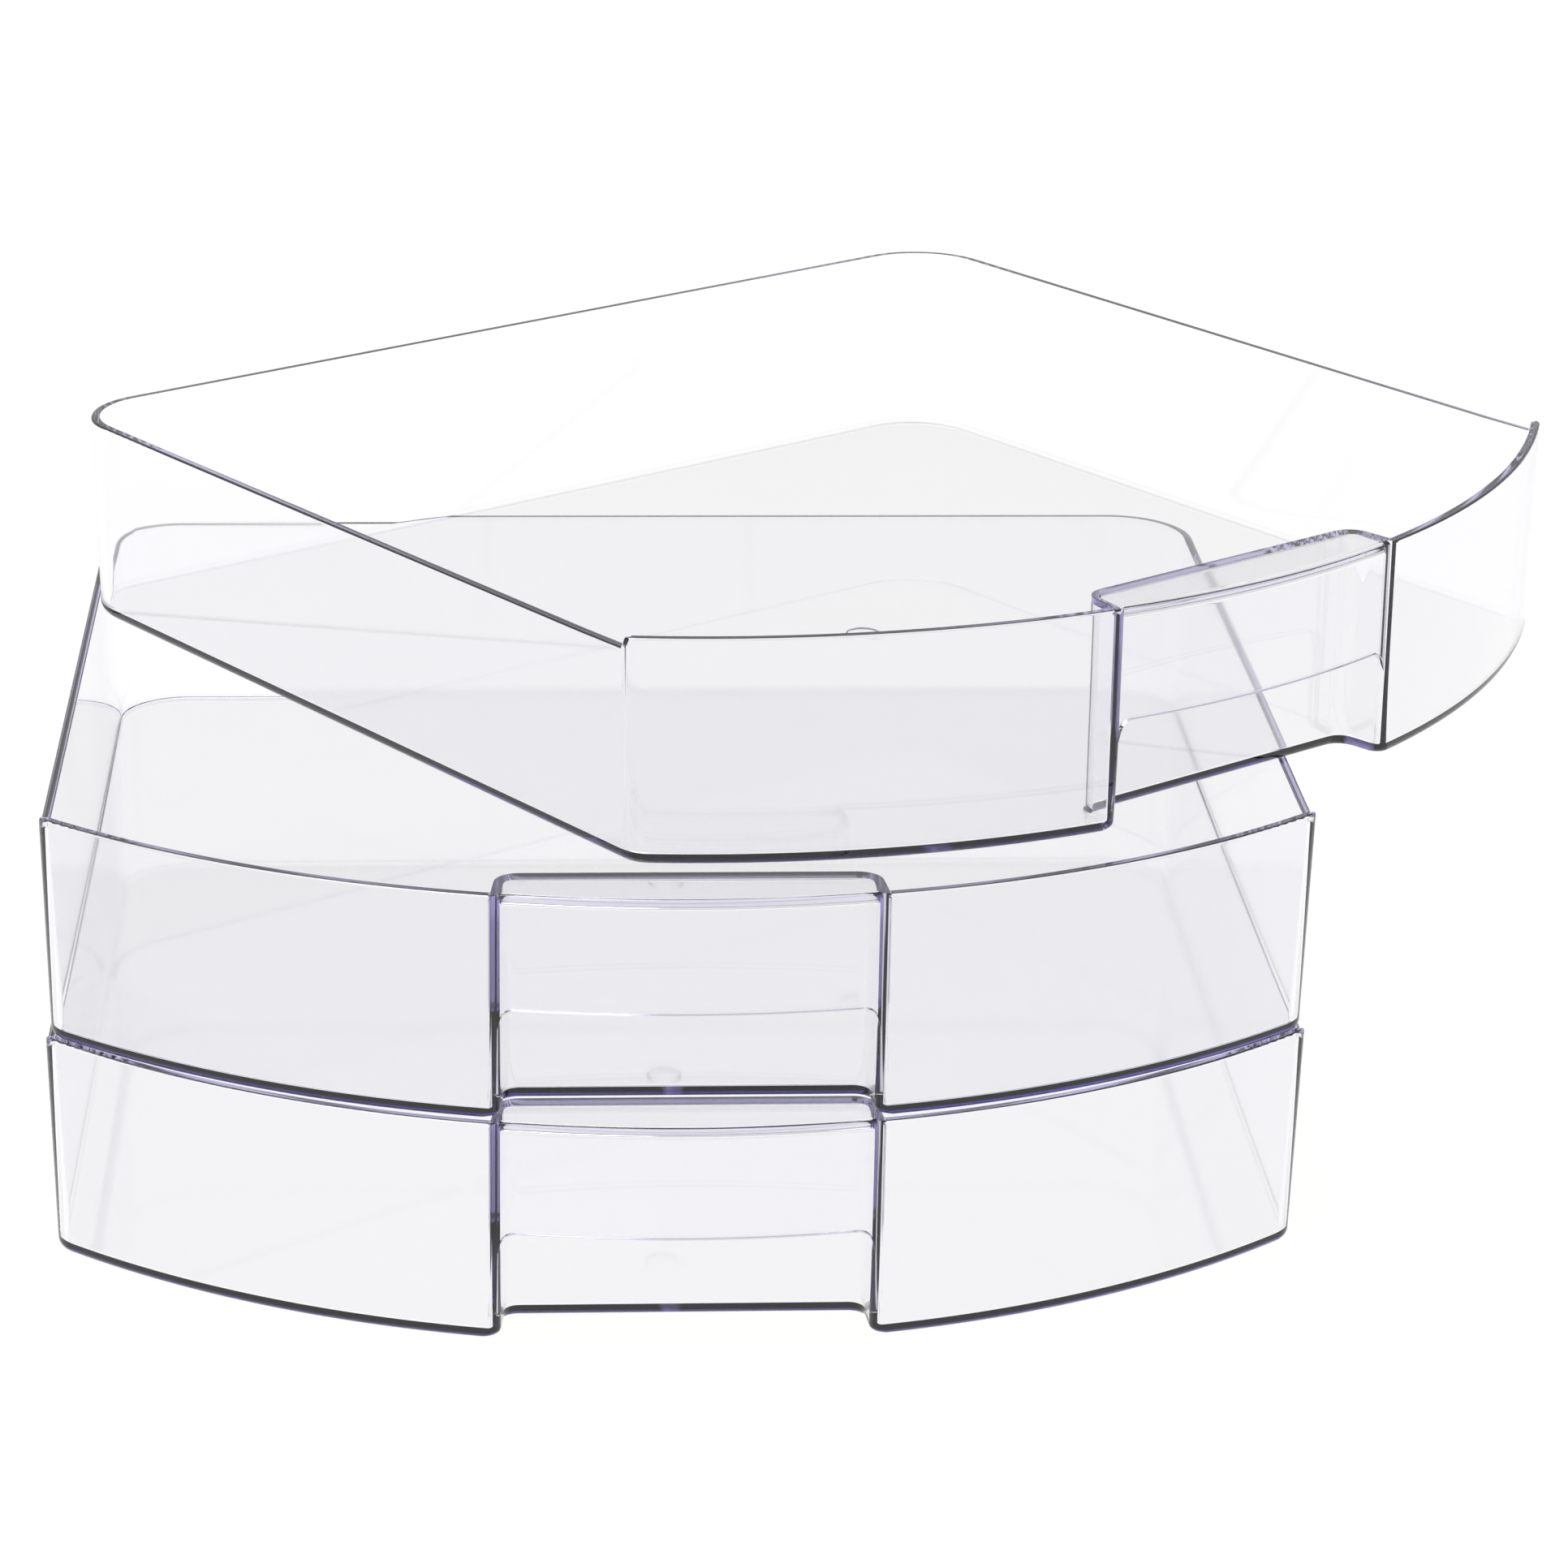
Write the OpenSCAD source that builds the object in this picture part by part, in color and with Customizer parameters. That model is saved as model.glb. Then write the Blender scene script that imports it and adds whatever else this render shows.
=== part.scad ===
// Three clear stacking storage bins, each moulded in one piece with a curved front and a pull handle.
// Millimetres, +Z up, fronts towards -Y. The origin is the middle of the bottom bin's base.

/* [Bin] */
// Width between the front corners, at the rim
front_w = 416; // [340:2:500]
// Width between the back corners, at the rim
back_w = 412; // [340:2:480]
// Depth of the side walls, from front corner to back wall
side_depth = 336; // [260:1:400]
// How far the curved front stands out past its corners
front_bulge = 77.5; // [50:0.5:95]
// Height of the side and back rims
rim_h = 72.3; // [60:0.1:90]
// How far the front wall rises above the side rims
lip_h = 4; // [1:0.1:5]
// How far the lip reaches back past the front corners
lip_wrap = 1; // [0:0.5:8]
// Wall thickness
wall = 3.1; // [2.5:0.1:4]
// Floor thickness
floor_t = 3; // [2:0.1:4]
// How far the side and back walls draw in from the rim to the base
base_inset = 2; // [1:0.1:2.4]
// How far the front wall draws in from the lip to the base
front_inset = 0.2; // [0.1:0.1:0.4]

/* [Corners] */
// Radius of the front corners in plan, at the lip
front_corner_r = 6; // [5:0.5:12]
// Radius of the front corners in plan, at the base
front_base_r = 14; // [6:0.5:20]
// Radius of the back corners in plan
back_corner_r = 30; // [15:1:40]
// Radius of the edge between the walls and the base
base_edge_r = 3; // [2:0.5:6]

/* [Handle] */
// Width of the finger recess, in front
recess_w = 121; // [90:1:150]
// How much narrower the recess is at its back wall
recess_taper = 5; // [2:0.5:10]
// Depth of the recess, from the front of the bulge to its back wall
recess_depth = 23.3; // [18:0.1:30]
// Radius of the recess's back corners
recess_corner_r = 5; // [3:0.5:8]
// Height of the pull flap, from the lip down to its lower edge
flap_h = 39; // [30:0.5:48]
// How far the flap's face is set back from the front wall
flap_set_back = 1.2; // [0.5:0.1:2]
// Radius of the corners where the flap's lower edge meets the recess
flap_corner_r = 5; // [2:0.5:8]

/* [Floor mark] */
// Diameter of the shallow round dimple in the middle of the underside
dimple_d = 12; // [8:0.5:16]
// Depth of the dimple
dimple_depth = 0.9; // [0.5:0.1:1.2]

/* [Stack] */
// How far the top bin is turned on the bin below
top_turn = 36; // [30:1:40]
// Sideways place of the top bin's foremost corner on the bin below
top_corner_x = -19.8; // [-24:0.1:-16]
// Gap between that corner and the wall behind the recess of the bin below
lip_clearance = 16; // [10:0.5:24]
// Gap left between resting faces
rest_gap = 0.2; // [0.1:0.05:0.4]

/* [Hidden] */
clear_plastic = [0.86, 0.87, 0.92, 0.45];
full_h = rim_h + lip_h;
half_depth = (side_depth + front_bulge) / 2;
corner_y = front_bulge - half_depth;
front_r = (pow(front_w / 2, 2) + pow(front_bulge, 2)) / (2 * front_bulge);
arc_y = front_r - half_depth;
side_angle = atan((front_w - back_w) / 2 / side_depth);
side_reach = front_w / 2 * cos(side_angle) + corner_y * sin(side_angle);
lip_end_y = corner_y + lip_wrap;
recess_y = recess_depth - half_depth;
recess_angle = atan(recess_taper / 2 / recess_depth);
// Half width of the recess where it cuts through the front wall's face
flap_end = recess_w / 2 - (front_r - sqrt(pow(front_r, 2) - pow(recess_w / 2, 2))) * tan(recess_angle);
// A bin stacked in line rests on the lip's ends and with its rounded base edge on the inner edge
// of the back rim, so it leans back a little.
edge_overhang = base_edge_r - (wall - base_inset);
edge_sink = base_edge_r - sqrt(pow(base_edge_r, 2) - pow(edge_overhang, 2));
lean = atan((lip_h + edge_sink) / (half_depth - wall - lip_end_y));
stack_z = full_h + lip_end_y * tan(lean) + rest_gap;
// The turned bin's place follows from its foremost corner, which stays clear of the lip below.
top_x = top_corner_x + front_w / 2 * cos(top_turn) + corner_y * sin(top_turn);
top_y = recess_y + wall + lip_clearance + front_w / 2 * sin(top_turn) - corner_y * cos(top_turn);
// Facets on the front arc and on each corner
front_steps = 14;
corner_steps = 10;
slice = 0.01;
over = 1;

// Centre of a front corner's arc, for an outline inside the rim's outer face by front_d at the
// front and by d at the sides.
function front_corner(front_d, d, r) =
    let (
        across = side_reach - d - r - arc_y * sin(side_angle),
        along = -sqrt(pow(front_r - front_d - r, 2) - pow(across, 2))
    )
    [
        across * cos(side_angle) - along * sin(side_angle),
        arc_y + across * sin(side_angle) + along * cos(side_angle)
    ];

// Centre of a back corner's arc.
function back_corner(d, r) =
    let (y = half_depth - d - r)
    [(side_reach - d - r - y * sin(side_angle)) / cos(side_angle), y];

function arc(centre, r, from, to, steps) =
    [for (i = [0:steps]) let (a = from + (to - from) * i / steps) centre + r * [cos(a), sin(a)]];

// Right half of the plan, from the middle of the front round to the middle of the back.
function half_outline(front_d, d, front_corner_r, back_corner_r) =
    let (
        centre = front_corner(front_d, d, front_corner_r),
        turn = atan2(centre[1] - arc_y, centre[0])
    )
    concat(
        arc([0, arc_y], front_r - front_d, -90, turn, front_steps),
        arc(centre, front_corner_r, turn, side_angle, corner_steps),
        arc(back_corner(d, back_corner_r), back_corner_r, side_angle, 90, corner_steps)
    );

module outline(front_d, d, front_corner_r, back_corner_r) {
    right = half_outline(front_d, d, front_corner_r, back_corner_r);
    left = [for (i = [len(right) - 1:-1:1]) [-right[i][0], right[i][1]]];
    polygon(concat(right, left));
}

// Inset of an outer face at a height, for a wall that draws in by an amount down to the base.
function draft(amount, z) = amount * (1 - z / full_h);

// Radius of a front corner's outer face at a height.
function corner_r_at(z) = front_corner_r + (front_base_r - front_corner_r) * (1 - z / full_h);

// A drafted, closed body with a rounded lower edge, d inside the bin's outer faces.
module tub(d, bottom, top) {
    edge_r = max(base_edge_r - d, slice);
    hull() {
        for (a = [0:30:90])
            level(d + edge_r * (1 - sin(a)), d, bottom + edge_r * (1 - cos(a)));
        level(d, d, top - slice);
    }
}

// A thin slice of the tub at a height, with its corners' radii less by d.
module level(inset, d, z) {
    translate([0, 0, z])
        linear_extrude(slice)
            outline(
                inset + draft(front_inset, z), inset + draft(base_inset, z),
                max(corner_r_at(z) - d, slice), back_corner_r - d
            );
}

// Plan of the finger recess, grown by a wall on its sides and back.
module recess_plan(grow) {
    r = recess_corner_r + grow;
    centre = [
        recess_w / 2 - recess_taper / 2 - recess_corner_r * (1 - sin(recess_angle)) / cos(recess_angle),
        recess_y - recess_corner_r
    ];
    side = centre + r * [cos(recess_angle), sin(recess_angle)];
    run = side[1] + half_depth + over;
    front = [side[0] + run * tan(recess_angle), -half_depth - over];
    right = concat([front], arc(centre, r, recess_angle, 90, corner_steps));
    left = [for (i = [len(right) - 1:-1:0]) [-right[i][0], right[i][1]]];
    polygon(concat(right, left));
}

// The flap's shape seen from the front, with its lower corners filleted into the recess.
module flap_front() {
    low = full_h - flap_h;
    r = flap_corner_r;
    difference() {
        translate([-recess_w / 2 - over, low - r])
            square([recess_w + 2 * over, flap_h + r]);
        translate([r - flap_end, low - r - over])
            square([2 * (flap_end - r), r + over]);
        for (side = [-1, 1])
            translate([side * (flap_end - r), low - r])
                circle(r, $fn = 32);
    }
}

// The curved flap that fingers pull on.
module flap() {
    outer_r = front_r - flap_set_back;
    intersection() {
        translate([0, -half_depth + recess_depth, 0])
            rotate([90, 0, 0])
                linear_extrude(recess_depth + over)
                    flap_front();
        translate([0, arc_y, 0])
            difference() {
                cylinder(h = full_h, r = outer_r, $fn = 240);
                translate([0, 0, -over])
                    cylinder(h = full_h + 2 * over, r = outer_r - wall, $fn = 240);
            }
    }
}

// Hollow under the shelf and behind the flap, open below and in front.
module finger_space() {
    difference() {
        translate([0, 0, -over])
            linear_extrude(full_h - wall + over)
                recess_plan(0);
        flap();
    }
}

// Strip in front of the flap, so that its face lies behind the wall's.
module flap_face_cut() {
    difference() {
        linear_extrude(full_h + over)
            recess_plan(0);
        translate([0, arc_y, -over])
            cylinder(h = full_h + 3 * over, r = front_r - flap_set_back, $fn = 240);
    }
}

// What the bin holds, less the space that the recess takes.
module inside() {
    difference() {
        tub(wall, floor_t, full_h + over);
        translate([0, 0, -over])
            linear_extrude(full_h + 4 * over)
                recess_plan(wall);
    }
}

// The side and back rims stop below the front lip.
module rim_step() {
    translate([-front_w, lip_end_y, rim_h])
        cube([2 * front_w, side_depth + over, lip_h + over]);
}

// Keeps the moulding gate's stub clear of whatever the bin stands on.
module dimple() {
    translate([0, 0, -over])
        cylinder(h = over + dimple_depth, d = dimple_d, $fn = 48);
}

module bin() {
    difference() {
        tub(0, 0, full_h);
        inside();
        finger_space();
        flap_face_cut();
        rim_step();
        dimple();
    }
}

// A bin set down in line on the one below.
module stacked() {
    translate([0, 0, stack_z])
        rotate([-lean, 0, 0])
            children();
}

module bottom_bin() {
    color(clear_plastic)
        bin();
}

module middle_bin() {
    color(clear_plastic)
        stacked()
            bin();
}

// The top bin is turned, so it clears the lip and rests on the side and back rims.
module top_bin() {
    color(clear_plastic)
        stacked()
            translate([top_x, top_y, rim_h + rest_gap])
                rotate([0, 0, top_turn])
                    bin();
}

bottom_bin();
middle_bin();
top_bin();
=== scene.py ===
"""Looks of the clear stacking bins: finely rounded meshes in place of the CAD's, and a studio."""
from math import atan, atan2, cos, pi, radians, sin, sqrt, tan

import bmesh
import bpy
from mathutils import Matrix, Vector


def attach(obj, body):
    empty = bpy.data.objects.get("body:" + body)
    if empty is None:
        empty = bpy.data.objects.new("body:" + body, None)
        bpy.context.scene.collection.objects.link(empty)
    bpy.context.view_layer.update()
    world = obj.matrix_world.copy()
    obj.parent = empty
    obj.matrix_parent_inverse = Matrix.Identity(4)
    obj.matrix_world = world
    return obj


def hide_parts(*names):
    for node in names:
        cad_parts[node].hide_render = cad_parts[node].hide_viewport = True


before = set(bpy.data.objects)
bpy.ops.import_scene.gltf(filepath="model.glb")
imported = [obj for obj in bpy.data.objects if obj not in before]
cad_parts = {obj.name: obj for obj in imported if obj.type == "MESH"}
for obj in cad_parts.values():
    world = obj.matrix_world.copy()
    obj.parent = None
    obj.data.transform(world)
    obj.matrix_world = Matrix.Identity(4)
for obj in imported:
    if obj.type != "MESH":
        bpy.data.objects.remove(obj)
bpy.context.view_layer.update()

MM = 0.001

# The bin's sizes in millimetres, the same as the CAD part's.
FRONT_W, BACK_W, SIDE_DEPTH, FRONT_BULGE = 416, 412, 336, 77.5
RIM_H, LIP_H, LIP_WRAP, WALL, FLOOR_T = 72.3, 4, 1, 3.1, 3
BASE_INSET, FRONT_INSET, BASE_EDGE_R = 2, 0.2, 3
FRONT_CORNER_R, FRONT_BASE_R, BACK_CORNER_R = 6, 14, 30
RECESS_W, RECESS_TAPER, RECESS_DEPTH, RECESS_CORNER_R = 121, 5, 23.3, 5
FLAP_H, FLAP_SET_BACK, FLAP_CORNER_R = 39, 1.2, 5
DIMPLE_D, DIMPLE_DEPTH = 12, 0.9
TOP_TURN, TOP_CORNER_X, LIP_CLEARANCE, REST_GAP = radians(36), -19.8, 16, 0.2

FULL_H = RIM_H + LIP_H
HALF_DEPTH = (SIDE_DEPTH + FRONT_BULGE) / 2
CORNER_Y = FRONT_BULGE - HALF_DEPTH
FRONT_R = ((FRONT_W / 2) ** 2 + FRONT_BULGE ** 2) / (2 * FRONT_BULGE)
ARC_Y = FRONT_R - HALF_DEPTH
SIDE_ANGLE = atan((FRONT_W - BACK_W) / 2 / SIDE_DEPTH)
SIDE_REACH = FRONT_W / 2 * cos(SIDE_ANGLE) + CORNER_Y * sin(SIDE_ANGLE)
LIP_END_Y = CORNER_Y + LIP_WRAP
RECESS_Y = RECESS_DEPTH - HALF_DEPTH
RECESS_ANGLE = atan(RECESS_TAPER / 2 / RECESS_DEPTH)
# Centre of the recess's rounded back corner.
RECESS_CX = ((RECESS_W - RECESS_TAPER) / 2
             - RECESS_CORNER_R * (1 - sin(RECESS_ANGLE)) / cos(RECESS_ANGLE))
RECESS_CY = RECESS_Y - RECESS_CORNER_R
# Half the recess's width where it cuts through the front wall's face.
FLAP_END = RECESS_W / 2 - (FRONT_R - sqrt(FRONT_R ** 2 - (RECESS_W / 2) ** 2)) * tan(RECESS_ANGLE)
# Place of the top bin, from its foremost corner, which stays clear of the lip below.
TOP_X = TOP_CORNER_X + FRONT_W / 2 * cos(TOP_TURN) + CORNER_Y * sin(TOP_TURN)
TOP_Y = RECESS_Y + WALL + LIP_CLEARANCE + FRONT_W / 2 * sin(TOP_TURN) - CORNER_Y * cos(TOP_TURN)

# Small edge roundings, in millimetres.
RIM_OUTER_R, RIM_INNER_R = 0.8, 0.2
FLOOR_R = 1.0
NOTCH_INNER_R = 0.8
NOTCH_TOP_R, NOTCH_BASE_R = 3.0, 4.5
NOTCH_FADE = 40     # height over which the notch's rounding shrinks from the base's to the top's
FLAP_EDGE_R, FLAP_TOP_R, SHELF_R = 0.4, 1.8, 1.5
LEAST_FRONT_R, LEAST_BACK_R = 0.6, 1        # corners inside the walls keep at least these radii
STEP_LENGTH = 2.2       # the lip steps down to the side rims over this length

# Flat strips beside the roundings, which keep the shading of flats flat: on walls, rim and base.
HOLD, RIM_HOLD, BASE_HOLD = 0.35, 0.2, 3

# Cutters leave a surface at the exit angle, so that no faces coincide, and reach past the bin.
EXIT = radians(15)
BEYOND = 6
ABOVE_LIP, BELOW_BASE, INTO_BACK, INTO_SIDES = 1, 0.8, 2, 1

# Steps along each part of an outline; the inner and the outer outline have equally many points.
RECESS_BACK_STEPS, RECESS_CORNER_STEPS, RECESS_SIDE_STEPS, NOTCH_STEPS = 8, 8, 6, 8
NOTCH_STATIONS = (RECESS_BACK_STEPS + (RECESS_CORNER_STEPS + 1)
                  + (RECESS_SIDE_STEPS - 1) + (NOTCH_STEPS + 1))
FRONT_STEPS, FRONT_CORNER_STEPS, SIDE_STEPS, BACK_CORNER_STEPS, BACK_STEPS = 56, 28, 14, 20, 6
CUTTER_CORNER_STEPS, BASE_EDGE_STEPS, DIMPLE_STEPS = 10, 8, 64


def quarter(r, steps, start=0.0, end=pi / 2):
    """Inset and drop of a rounding's points, from the face it starts on."""
    return [(r * (1 - cos(a)), r * (1 - sin(a))) for a in
            (start + (end - start) * i / steps for i in range(steps + 1))]


def draft(amount, z):
    """How far a drafted wall lies inside its outline at the lip, at a height."""
    return amount * (1 - z / FULL_H)


def arc_points(cx, cy, r, a0, a1, steps):
    """Points along an arc, with both ends."""
    return [(cx + r * cos(a), cy + r * sin(a)) for a in
            (a0 + (a1 - a0) * i / steps for i in range(steps + 1))]


def line_points(p, q, steps):
    """Points between two points, without the ends."""
    return [(p[0] + (q[0] - p[0]) * i / steps, p[1] + (q[1] - p[1]) * i / steps)
            for i in range(1, steps)]


def notch_corner(front_d, recess_d, r, stop=0.0):
    """Rounded edge where the front wall turns into the recess; stop leaves off the end of its arc."""
    a = RECESS_ANGLE
    # The arc's centre, square to the recess's side face and along it, from the front arc's centre.
    off = RECESS_CX * cos(a) + (RECESS_CY - ARC_Y) * sin(a) + RECESS_CORNER_R + recess_d + r
    along = sqrt((FRONT_R - front_d - r) ** 2 - off ** 2)
    cx, cy = off * cos(a) + along * sin(a), ARC_Y + off * sin(a) - along * cos(a)
    turn = atan2(cy - ARC_Y, cx)
    return arc_points(cx, cy, r, a - pi, turn - stop, NOTCH_STEPS)


def recess_corner(recess_d, steps):
    """Rounded back corner of the recess."""
    return arc_points(RECESS_CX, RECESS_CY, RECESS_CORNER_R + recess_d, pi / 2, RECESS_ANGLE, steps)


def front_corner(front_d, d, r):
    """Centre of a front corner's arc, and the direction in which that arc meets the front wall."""
    across = SIDE_REACH - d - r - ARC_Y * sin(SIDE_ANGLE)
    along = -sqrt((FRONT_R - front_d - r) ** 2 - across ** 2)
    cx = across * cos(SIDE_ANGLE) - along * sin(SIDE_ANGLE)
    cy = ARC_Y + across * sin(SIDE_ANGLE) + along * cos(SIDE_ANGLE)
    return cx, cy, atan2(cy - ARC_Y, cx)


def corner_r(z):
    """Radius of the outer face's front corners at a height."""
    return FRONT_CORNER_R + (FRONT_BASE_R - FRONT_CORNER_R) * (1 - z / FULL_H)


def front_and_sides(front_d, d, z, start):
    """Right half of the outline, from a start on the front wall round to the back's middle."""
    r = max(corner_r(z) - d, LEAST_FRONT_R)
    cx, cy, turn = front_corner(front_d, d, r)
    begin = atan2(start[1] - ARC_Y, start[0])
    points = arc_points(0, ARC_Y, FRONT_R - front_d, begin, turn, FRONT_STEPS)[1:-1]
    points += arc_points(cx, cy, r, turn, SIDE_ANGLE, FRONT_CORNER_STEPS)
    br = max(BACK_CORNER_R - d, LEAST_BACK_R)
    by = HALF_DEPTH - d - br
    bx = (SIDE_REACH - d - br - by * sin(SIDE_ANGLE)) / cos(SIDE_ANGLE)
    corner = arc_points(bx, by, br, SIDE_ANGLE, pi / 2, BACK_CORNER_STEPS)
    points += line_points(points[-1], corner[0], SIDE_STEPS) + corner
    middle = (0, HALF_DEPTH - d)
    return points + line_points(points[-1], middle, BACK_STEPS) + [middle]


def inner_half(front_d, d, recess_d, z):
    """Right half of the outline of the bin's inside, which passes round the recess."""
    middle = (0, RECESS_Y + recess_d)
    corner = recess_corner(recess_d, RECESS_CORNER_STEPS)
    edge = notch_corner(front_d, recess_d, NOTCH_INNER_R)
    points = [middle] + line_points(middle, corner[0], RECESS_BACK_STEPS) + corner
    points += line_points(corner[-1], edge[0], RECESS_SIDE_STEPS) + edge
    return points + front_and_sides(front_d, d, z, edge[-1])


def outer_half(front_d, d, z):
    """Right half of the outer outline, with as many points as the inner one and no recess."""
    end_x = RECESS_W / 2 + WALL + NOTCH_INNER_R
    points = []
    for i in range(NOTCH_STATIONS):
        x = end_x * i / (NOTCH_STATIONS - 1)
        points.append((x, ARC_Y - sqrt((FRONT_R - front_d) ** 2 - x ** 2)))
    return points + front_and_sides(front_d, d, z, points[-1])


def mirrored(half):
    """A closed outline from its right half, whose two ends lie on the centre plane."""
    return half + [(-x, y) for x, y in reversed(half[1:-1])]


def rim_drop(y):
    """How far the rim lies below the lip at a depth along the bin."""
    t = min(max((y - LIP_END_Y) / STEP_LENGTH, 0), 1)
    return LIP_H * t * t * (3 - 2 * t)


def mesh_from_rings(rings, name):
    """A closed mesh from equally long rings of points, capped at both ends."""
    bm = bmesh.new()
    loops = [[bm.verts.new(Vector(p) * MM) for p in ring] for ring in rings]
    n = len(loops[0])
    for a, b in zip(loops, loops[1:]):
        for i in range(n):
            j = (i + 1) % n
            bm.faces.new((a[i], a[j], b[j], b[i]))
    bm.faces.new(reversed(loops[0]))
    bm.faces.new(loops[-1])
    bmesh.ops.recalc_face_normals(bm, faces=bm.faces)
    mesh = bpy.data.meshes.new(name)
    bm.to_mesh(mesh)
    bm.free()
    obj = bpy.data.objects.new(name, mesh)
    bpy.context.collection.objects.link(obj)
    return obj


def level(outline, z):
    """The outline's points at one height."""
    return [(x, y, z) for x, y in outline]


def under_rim(outline, below):
    """The outline's points at a distance below the lip, or below the rims where those are lower."""
    return [(x, y, FULL_H - rim_drop(y) - below) for x, y in outline]


def shell():
    """The open tub, with a solid block where the recess will be cut."""
    rings = []
    r = BASE_EDGE_R

    def outer(inset, z):
        return mirrored(outer_half(inset + draft(FRONT_INSET, z), inset + draft(BASE_INSET, z), z))

    def inner(inset, z):
        d = WALL + inset
        return mirrored(inner_half(d + draft(FRONT_INSET, z), d + draft(BASE_INSET, z), d, z))

    rings.append(level(outer(r + BASE_HOLD, 0), 0))
    rings.append(level(outer(r + HOLD, 0), 0))
    for inset, z in reversed(quarter(r, BASE_EDGE_STEPS)):
        rings.append(level(outer(inset, z), z))
    rings.append(level(outer(0, r + HOLD), r + HOLD))
    rings.append(under_rim(outer(0, RIM_H - RIM_OUTER_R - HOLD), RIM_OUTER_R + HOLD))
    for inset, drop in quarter(RIM_OUTER_R, steps=6):
        rings.append(under_rim(outer(inset, RIM_H), drop))
    rings.append(under_rim(outer(RIM_OUTER_R + RIM_HOLD, RIM_H), 0))
    rings.append(under_rim(inner(-RIM_INNER_R - RIM_HOLD, RIM_H), 0))
    for inset, drop in reversed(quarter(RIM_INNER_R, steps=4)):
        rings.append(under_rim(inner(-inset, RIM_H), drop))
    rings.append(under_rim(inner(0, RIM_H - RIM_INNER_R - HOLD), RIM_INNER_R + HOLD))
    rings.append(level(inner(0, FLOOR_T + FLOOR_R + HOLD), FLOOR_T + FLOOR_R + HOLD))
    for inset, rise in quarter(FLOOR_R, steps=5):
        rings.append(level(inner(inset, FLOOR_T + rise), FLOOR_T + rise))
    rings.append(level(inner(FLOOR_R + HOLD, FLOOR_T), FLOOR_T))
    return mesh_from_rings(rings, "bin_shell")


def recess_ring(z, inset, edge_r):
    """Outline of the notch in the front wall at a height."""
    edge = notch_corner(inset + draft(FRONT_INSET, max(z, 0)), inset, edge_r, stop=EXIT)
    (ax, ay), (bx, by) = edge[-2], edge[-1]
    run = (-HALF_DEPTH - BEYOND - by) / (by - ay)
    half = [(0, RECESS_Y + inset)] + recess_corner(inset, CUTTER_CORNER_STEPS) + edge
    half.append((bx + (bx - ax) * run, -HALF_DEPTH - BEYOND))
    half.append((0, -HALF_DEPTH - BEYOND))
    return level(mirrored(half), z)


def recess():
    """The notch for the pull handle, right through the front wall from base to lip."""
    rounding = list(reversed(quarter(BASE_EDGE_R, BASE_EDGE_STEPS, 0, pi / 2 - EXIT)))
    inset, z = rounding[0]

    def edge_r(z):
        fade = max(1 - max(z, 0) / NOTCH_FADE, 0)
        return NOTCH_TOP_R + (NOTCH_BASE_R - NOTCH_TOP_R) * fade ** 2

    rings = [recess_ring(z - BELOW_BASE, inset + BELOW_BASE / tan(EXIT), edge_r(0))]
    rings += [recess_ring(z, inset, edge_r(z)) for inset, z in rounding]
    # Closest together near the base, where the notch's rounding changes most.
    heights = 5, 8, 12, 17, 23, 30, NOTCH_FADE, FULL_H + BEYOND
    rings += [recess_ring(z, 0, edge_r(z)) for z in heights]
    return mesh_from_rings(rings, "recess")


def sag(x, r):
    """How far a fillet at the recess's sides has come down at a distance from the middle."""
    t = abs(x) - (FLAP_END - r)
    reach = r * sin(pi / 2 - EXIT)
    if t <= 0:
        return 0
    if t <= reach:
        return r - sqrt(r * r - t * t)
    return r - r * sin(EXIT) + (t - reach) / tan(EXIT)


def turns(end, steps=6):
    """Equally spaced angles from nought to an end."""
    return [end * i / steps for i in range(steps + 1)]


def handle_section(x):
    """The shelf and the flap cut across, as a closed outline in depth and height."""
    front = ARC_Y - sqrt((FRONT_R - FLAP_SET_BACK) ** 2 - x ** 2)
    back = ARC_Y - sqrt((FRONT_R - FLAP_SET_BACK - WALL) ** 2 - x ** 2)
    low = FULL_H - FLAP_H - sag(x, FLAP_CORNER_R)
    under = FULL_H - WALL - sag(x, SHELF_R)
    top, r, e = FLAP_TOP_R, SHELF_R, FLAP_EDGE_R
    end = pi / 2 - EXIT
    # The rounded top edge in front, where the handle's top runs out above the lip.
    y, z = front + top * (1 - cos(end)), FULL_H - top * (1 - sin(end))
    section = [(RECESS_Y + BEYOND, FULL_H + ABOVE_LIP),
               (y + (FULL_H + ABOVE_LIP - z) / tan(EXIT), FULL_H + ABOVE_LIP)]
    section += [(front + top * (1 - cos(b)), FULL_H - top * (1 - sin(b)))
                for b in reversed(turns(end))]
    section.append((front, FULL_H - top - HOLD))
    # The flap's lower edge, rounded in front and behind.
    section.append((front, low + e + HOLD))
    section += [(front + e * (1 - cos(b)), low + e * (1 - sin(b))) for b in turns(pi / 2)]
    section += [(back - e * (1 - cos(b)), low + e * (1 - sin(b))) for b in reversed(turns(pi / 2))]
    section.append((back, low + e + HOLD))
    # The shelf's underside, filleted to the flap and to the recess's back wall.
    section.append((back, under - r - HOLD))
    section += [(back + r * (1 - cos(b)), under - r + r * sin(b)) for b in turns(pi / 2)]
    section += [(RECESS_Y - r + r * sin(b), under - r + r * cos(b)) for b in turns(end)]
    y, z = section[-1]
    section.append((y + INTO_BACK, z - INTO_BACK / tan(EXIT)))
    section.append((RECESS_Y + BEYOND, z - INTO_BACK / tan(EXIT)))
    return section


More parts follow.
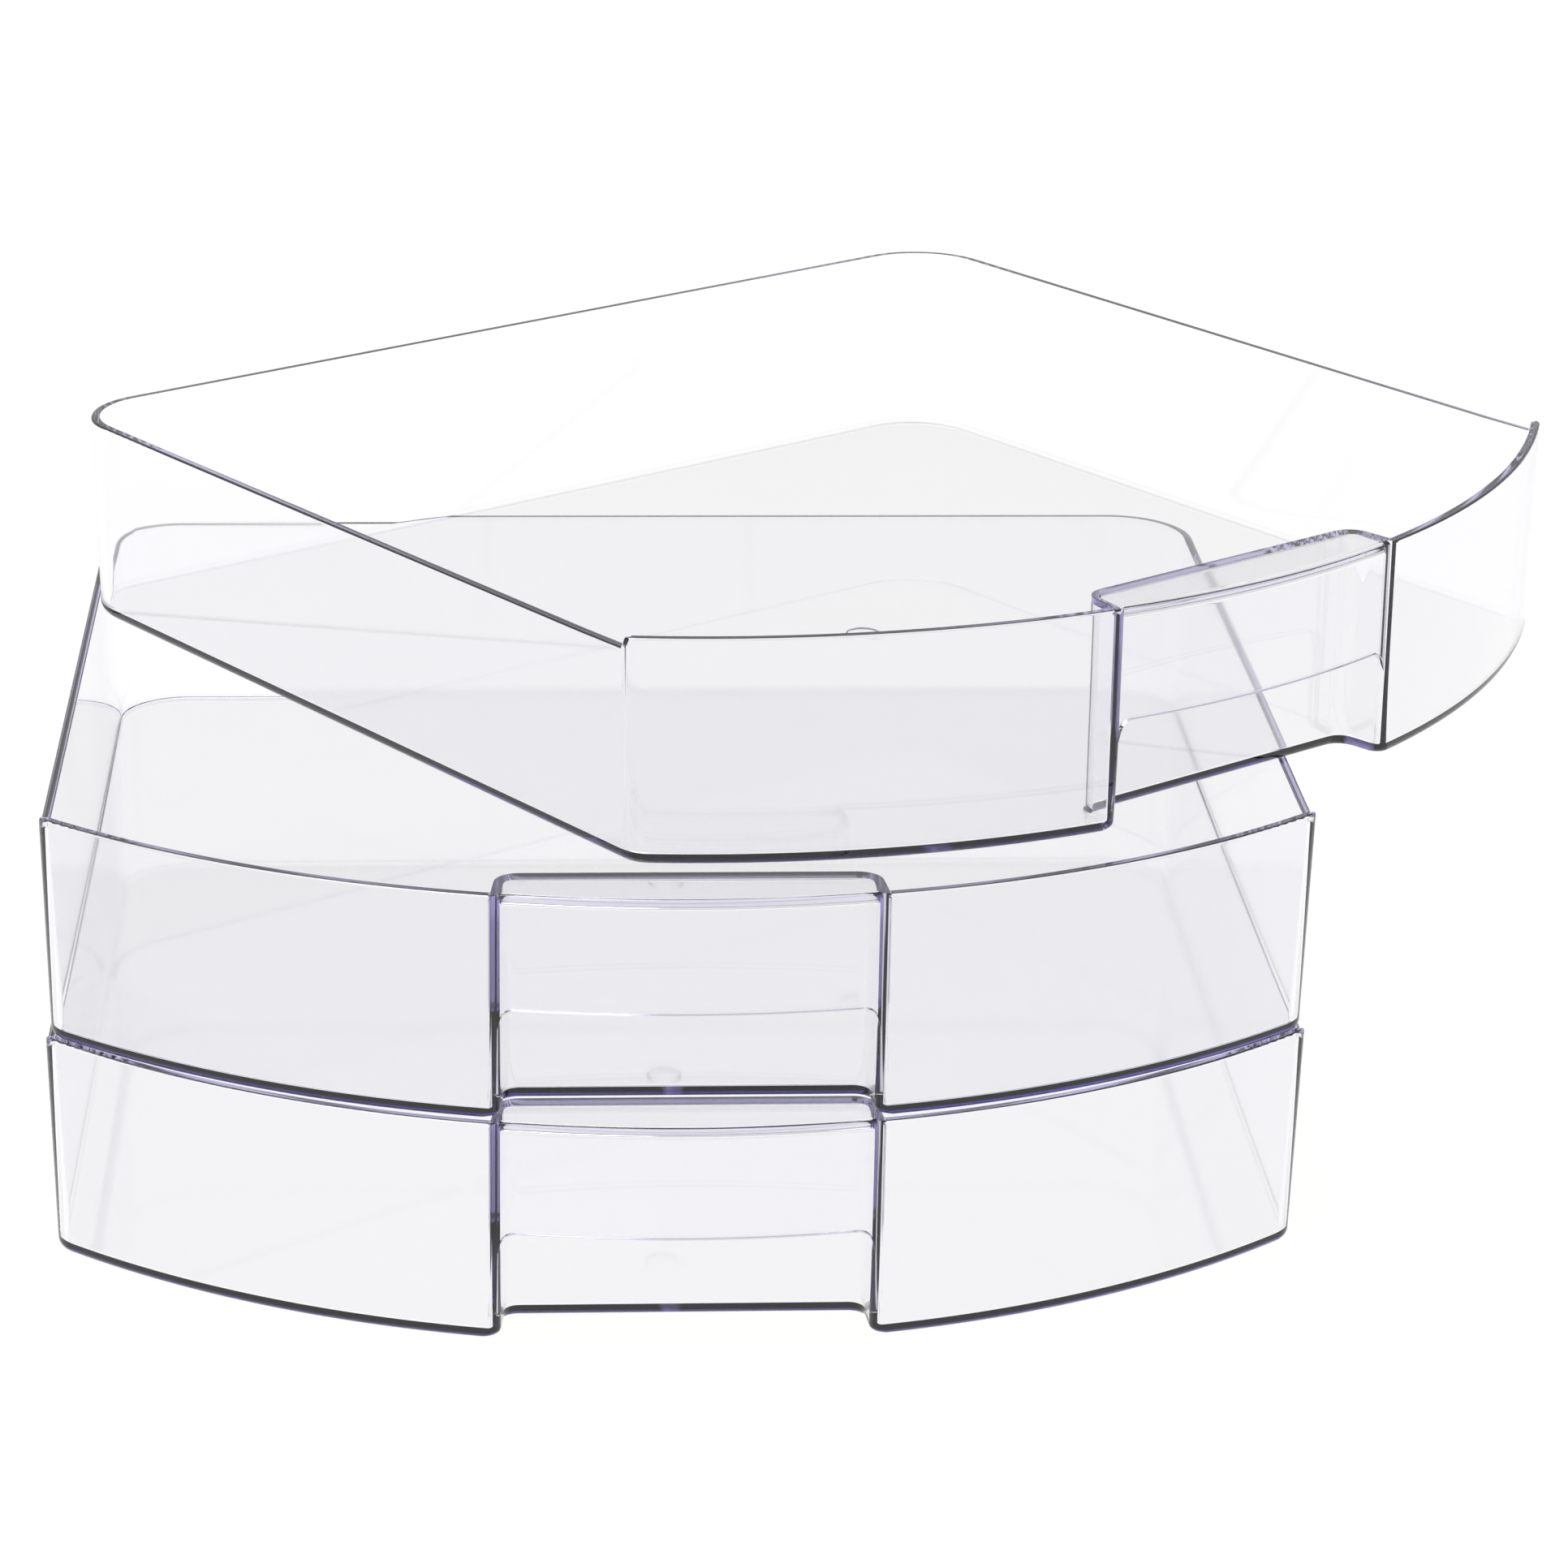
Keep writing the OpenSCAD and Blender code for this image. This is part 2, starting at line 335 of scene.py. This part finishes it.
def handle():
    """The shelf and the flap, reaching into the walls around the recess."""
    reach = RECESS_W / 2 + INTO_SIDES
    flat = FLAP_END - FLAP_CORNER_R
    flat_steps, corner_steps = 12, 18
    xs = [flat * i / flat_steps for i in range(flat_steps + 1)]
    xs += [flat + (reach - flat) * i / corner_steps for i in range(1, corner_steps + 1)]
    xs = [-x for x in reversed(xs[1:])] + xs
    rings = [[(x, y, z) for y, z in handle_section(x)] for x in xs]
    return mesh_from_rings(rings, "handle")


def dimple():
    """Shallow round hollow under the floor, where the moulding gate was."""
    # How much wider than the dimple, and how high: flared below the base, softened at the top.
    profile = [(1.6, -1), (0.2, -0.2), (0, 0.3), (-0.1, DIMPLE_DEPTH - 0.3), (-0.4, DIMPLE_DEPTH)]
    rings = []
    for grow, z in profile:
        circle = arc_points(0, 0, DIMPLE_D / 2 + grow, 0, 2 * pi, DIMPLE_STEPS)
        rings.append(level(circle[:-1], z))
    return mesh_from_rings(rings, "dimple")


def cut(target, cutter):
    """Takes the cutter out of the target for good."""
    mod = target.modifiers.new("cut", "BOOLEAN")
    mod.operation, mod.solver, mod.object = "DIFFERENCE", "EXACT", cutter
    evaluated = target.evaluated_get(bpy.context.evaluated_depsgraph_get())
    baked = bpy.data.meshes.new_from_object(evaluated)
    target.modifiers.clear()
    target.data = baked
    bpy.data.objects.remove(cutter)


def build_bin():
    """One bin at its own origin, with its recess, handle and dimple."""
    tub, notch = shell(), recess()
    cut(notch, handle())
    cut(tub, notch)
    cut(tub, dimple())
    return tub


SHARP_ANGLE = radians(28)       # edges that turn by more than this stay crisp
FLAT_WEIGHT = 80        # how strongly large faces set the shading beside them


def place(tub, name, node, body, matrix):
    """A copy of the bin at its place in the stack, standing for its CAD node."""
    obj = bpy.data.objects.new(name, tub.data.copy())
    obj.data.transform(matrix)
    bpy.context.collection.objects.link(obj)
    obj.data.shade_smooth()
    obj.data.set_sharp_from_angle(angle=SHARP_ANGLE)
    mod = obj.modifiers.new("flat_faces_stay_flat", "WEIGHTED_NORMAL")
    mod.keep_sharp = True
    mod.weight = FLAT_WEIGHT
    obj.data.materials.clear()
    obj.data.materials.append(PLASTIC)
    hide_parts(node)
    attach(obj, body)


PLASTIC_IOR = 1.57
PLASTIC_ROUGHNESS = 0.02, 0.05      # least and most, over a slow flow of noise
FLOW_SCALE = 14
TONER_COLOUR, TONER_DENSITY = (0.36, 0.3, 0.72, 1), 11      # density per metre of plastic


def clear_plastic():
    """Clear, polished, colourless moulded plastic."""
    mat = bpy.data.materials.new("clear_plastic")
    mat.use_nodes = True
    nodes, links = mat.node_tree.nodes, mat.node_tree.links
    shader = nodes["Principled BSDF"]
    shader.inputs["IOR"].default_value = PLASTIC_IOR
    shader.inputs["Transmission Weight"].default_value = 1
    where = nodes.new("ShaderNodeTexCoord")
    flow = nodes.new("ShaderNodeTexNoise")
    flow.inputs["Scale"].default_value = FLOW_SCALE
    flow.inputs["Detail"].default_value = 2
    links.new(where.outputs["Object"], flow.inputs["Vector"])
    gloss = nodes.new("ShaderNodeMapRange")
    gloss.inputs["To Min"].default_value, gloss.inputs["To Max"].default_value = PLASTIC_ROUGHNESS
    links.new(flow.outputs["Fac"], gloss.inputs["Value"])
    links.new(gloss.outputs["Result"], shader.inputs["Roughness"])
    shader.inputs["Base Color"].default_value = (1, 1, 1, 1)
    # The faint violet of thick edges: light is taken in along its way through the plastic.
    toner = nodes.new("ShaderNodeVolumeAbsorption")
    toner.inputs["Color"].default_value = TONER_COLOUR
    toner.inputs["Density"].default_value = TONER_DENSITY
    links.new(toner.outputs["Volume"], nodes["Material Output"].inputs["Volume"])
    return mat


# A pale floor that glows, so that it meets the background without an edge.
FLOOR_SIZE, FLOOR_Z = 60, -0.0005       # metres
FLOOR_COLOUR, FLOOR_ROUGHNESS, FLOOR_SHINE = (0.08, 0.08, 0.08, 1), 0.9, 0.1
GLOW_COLOUR, GLOW_STRENGTH = (1, 1, 0.985, 1), 0.965


def pale_floor():
    """The floor's material."""
    mat = bpy.data.materials.new("pale_floor")
    mat.use_nodes = True
    shader = mat.node_tree.nodes["Principled BSDF"]
    shader.inputs["Base Color"].default_value = FLOOR_COLOUR
    shader.inputs["Roughness"].default_value = FLOOR_ROUGHNESS
    shader.inputs["Specular IOR Level"].default_value = FLOOR_SHINE
    shader.inputs["Emission Color"].default_value = GLOW_COLOUR
    shader.inputs["Emission Strength"].default_value = GLOW_STRENGTH
    return mat


def floor():
    """The studio's floor, just under the bottom bin."""
    bpy.ops.mesh.primitive_plane_add(size=FLOOR_SIZE, location=(0, 0, FLOOR_Z))
    obj = bpy.context.object
    obj.name = "floor"
    obj.data.materials.append(pale_floor())


# The even light all round, and one large lamp above.
ROOM_COLOUR, ROOM_STRENGTH = (0.95, 0.94, 0.92, 1), 0.76
KEY_AT, KEY_AIM = Vector((-1.0, 0.2, 2.6)), Vector((0.05, 0.1, 0))
KEY_SIZE, KEY_WATTS = 2.2, 42


def studio():
    """The background and the lamp."""
    world = bpy.data.worlds.new("studio")
    bpy.context.scene.world = world
    world.use_nodes = True
    back = world.node_tree.nodes["Background"]
    back.inputs["Color"].default_value = ROOM_COLOUR
    back.inputs["Strength"].default_value = ROOM_STRENGTH
    data = bpy.data.lights.new("key", "AREA")
    data.shape = "DISK"
    data.size, data.energy = KEY_SIZE, KEY_WATTS
    obj = bpy.data.objects.new("key", data)
    obj.location = KEY_AT
    obj.rotation_euler = (KEY_AIM - KEY_AT).to_track_quat("-Z", "Y").to_euler()
    bpy.context.collection.objects.link(obj)


# The camera's view: from in front, a little to the left of the stack, looking down.
VIEW_AZ, VIEW_EL, VIEW_ROLL = radians(-3.60), radians(20.83), radians(1.06)
VIEW_DISTANCE, VIEW_LENS = 1.980, 123.08
VIEW_AT = Vector((0.0471, 0.0965, 0.078))


def camera():
    """The camera, aimed from its distance at one point of the stack."""
    forward = Vector((-sin(VIEW_AZ) * cos(VIEW_EL), cos(VIEW_AZ) * cos(VIEW_EL), -sin(VIEW_EL)))
    right = Vector((cos(VIEW_AZ), sin(VIEW_AZ), 0))
    up = right.cross(forward)
    x_axis = right * cos(VIEW_ROLL) + up * sin(VIEW_ROLL)
    y_axis = -right * sin(VIEW_ROLL) + up * cos(VIEW_ROLL)
    data = bpy.data.cameras.new("camera")
    data.lens = VIEW_LENS
    obj = bpy.data.objects.new("camera", data)
    basis = Matrix((x_axis, y_axis, -forward)).transposed().to_4x4()
    obj.matrix_world = Matrix.Translation(VIEW_AT - forward * VIEW_DISTANCE) @ basis
    bpy.context.collection.objects.link(obj)
    bpy.context.scene.camera = obj


def stack_places():
    """The places of the three bins, from the bottom up."""
    # The middle bin stands on the lip's ends, and its rounded base edge sinks a little over the
    # back rim's inner edge, so it leans back.
    overhang = BASE_EDGE_R - (WALL - BASE_INSET)
    edge_sink = BASE_EDGE_R - sqrt(BASE_EDGE_R ** 2 - overhang ** 2)
    lean = atan((LIP_H + edge_sink) / (HALF_DEPTH - WALL - LIP_END_Y))
    pitch = FULL_H + LIP_END_Y * tan(lean) + REST_GAP
    middle = Matrix.Translation((0, 0, pitch * MM)) @ Matrix.Rotation(-lean, 4, "X")
    top = middle @ Matrix.Translation(Vector((TOP_X, TOP_Y, RIM_H + REST_GAP)) * MM)
    return Matrix(), middle, top @ Matrix.Rotation(TOP_TURN, 4, "Z")


PLASTIC = clear_plastic()
bin_mesh = build_bin()
bottom_place, middle_place, top_place = stack_places()
place(bin_mesh, "bottom_bin_clear", "bottom_bin", "bottom", bottom_place)
place(bin_mesh, "middle_bin_clear", "middle_bin", "middle", middle_place)
place(bin_mesh, "top_bin_clear", "top_bin", "top", top_place)
bpy.data.objects.remove(bin_mesh)

floor()
studio()
camera()

# Light passes through many walls of clear plastic, so it may bounce often.
BOUNCES, GLOSSY_BOUNCES = 32, 16
scene = bpy.context.scene
scene.view_settings.view_transform = "Standard"
scene.cycles.max_bounces = BOUNCES
scene.cycles.transmission_bounces = BOUNCES
scene.cycles.glossy_bounces = GLOSSY_BOUNCES
